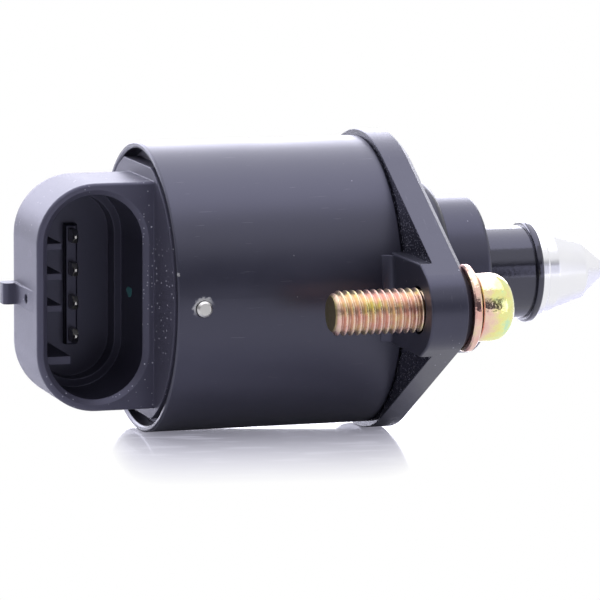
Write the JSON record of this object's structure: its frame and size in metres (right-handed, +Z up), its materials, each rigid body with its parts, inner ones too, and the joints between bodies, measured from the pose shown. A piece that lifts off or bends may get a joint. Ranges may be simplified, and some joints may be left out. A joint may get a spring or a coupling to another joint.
{
  "type": "idle air control valve",
  "caption": "Stepper idle air valve: black can with a side-facing socket, two-eared flange with screws, and a nose from which a sleeve and aluminium pintle slide.",
  "frame": {"origin": "centre of the flange's mounting face, on the valve axis", "axes": "+X along the valve axis towards the pintle tip, -Y the way the socket faces, +Z up"},
  "size_m": [0.0725, 0.0598, 0.0344],
  "materials": {
    "can_paint": "black satin paint",
    "housing_black": "satin black moulding",
    "connector_black": "satin black moulding",
    "sleeve_black": "glossy black",
    "pintle_aluminium": "bright turned",
    "screw_zinc": "yellow zinc",
    "washer_zinc": "yellow zinc",
    "pin_steel": "bright steel",
    "terminal_tin": "tinned",
    "seal_rubber": "black rubber",
    "spring_steel": "bright spring steel",
    "screw_steel": "turned steel",
    "bearing_steel": "polished",
    "cage_brass": "plain",
    "bush_bronze": "sintered",
    "hub_plastic": "natural",
    "magnet_dark": "plain",
    "stator_steel": "plated",
    "bobbin_white": "natural",
    "copper_wire": "enamelled copper"
  },
  "bodies": {
    "valve_body": {"motor_can": "can_paint", "flange_housing": "housing_black", "connector_housing": "connector_black", "mounting_screw_near": "screw_zinc", "mounting_screw_far": "screw_zinc", "screw_washer_near": "washer_zinc", "screw_washer_far": "washer_zinc", "locking_pin_near": "pin_steel", "locking_pin_far": "pin_steel", "terminal_1": "terminal_tin", "terminal_2": "terminal_tin", "terminal_3": "terminal_tin", "terminal_4": "terminal_tin", "nose_o_ring": "seal_rubber", "return_spring": "spring_steel", "spring_seat_washer": "spring_steel", "bearing_circlip": "spring_steel", "bearing_outer_ring": "bearing_steel", "rear_bush": "bush_bronze", "thrust_washer": "hub_plastic", "rear_stator_cup": "stator_steel", "rear_stator_plate": "stator_steel", "front_stator_cup": "stator_steel", "front_stator_plate": "stator_steel", "rear_bobbin": "bobbin_white", "front_bobbin": "bobbin_white", "rear_winding": "copper_wire", "front_winding": "copper_wire"},
    "rotor": {"rotor_hub": "hub_plastic", "rotor_magnet": "magnet_dark", "bearing_inner_ring": "bearing_steel"},
    "cage": {"bearing_cage": "cage_brass", "bearing_balls": "bearing_steel"},
    "pintle": {"pintle_sleeve": "sleeve_black", "pintle_tip": "pintle_aluminium", "lead_screw": "screw_steel"}
  },
  "joints": [
    {"name": "rotor_spin", "type": "hinge", "parent": "valve_body", "child": "rotor", "pos_m": [-0.01, 0, 0], "axis": [1, 0, 0], "range_deg": [-2880, 450]},
    {"name": "pintle_slide", "type": "slide", "parent": "valve_body", "child": "pintle", "axis": [1, 0, 0], "range_m": [-0.0064, 0.001], "deforming": ["return_spring"]},
    {"name": "bearing_cage_spin", "type": "hinge", "parent": "valve_body", "child": "cage", "pos_m": [-0.0076, 0, 0], "axis": [1, 0, 0], "range_deg": [-1152, 180]}
  ],
  "couplings": [
    {"joint": "pintle_slide", "follows": "rotor_spin", "m_per_rad": 0.00012732},
    {"joint": "bearing_cage_spin", "follows": "rotor_spin", "ratio": 0.4}
  ]
}
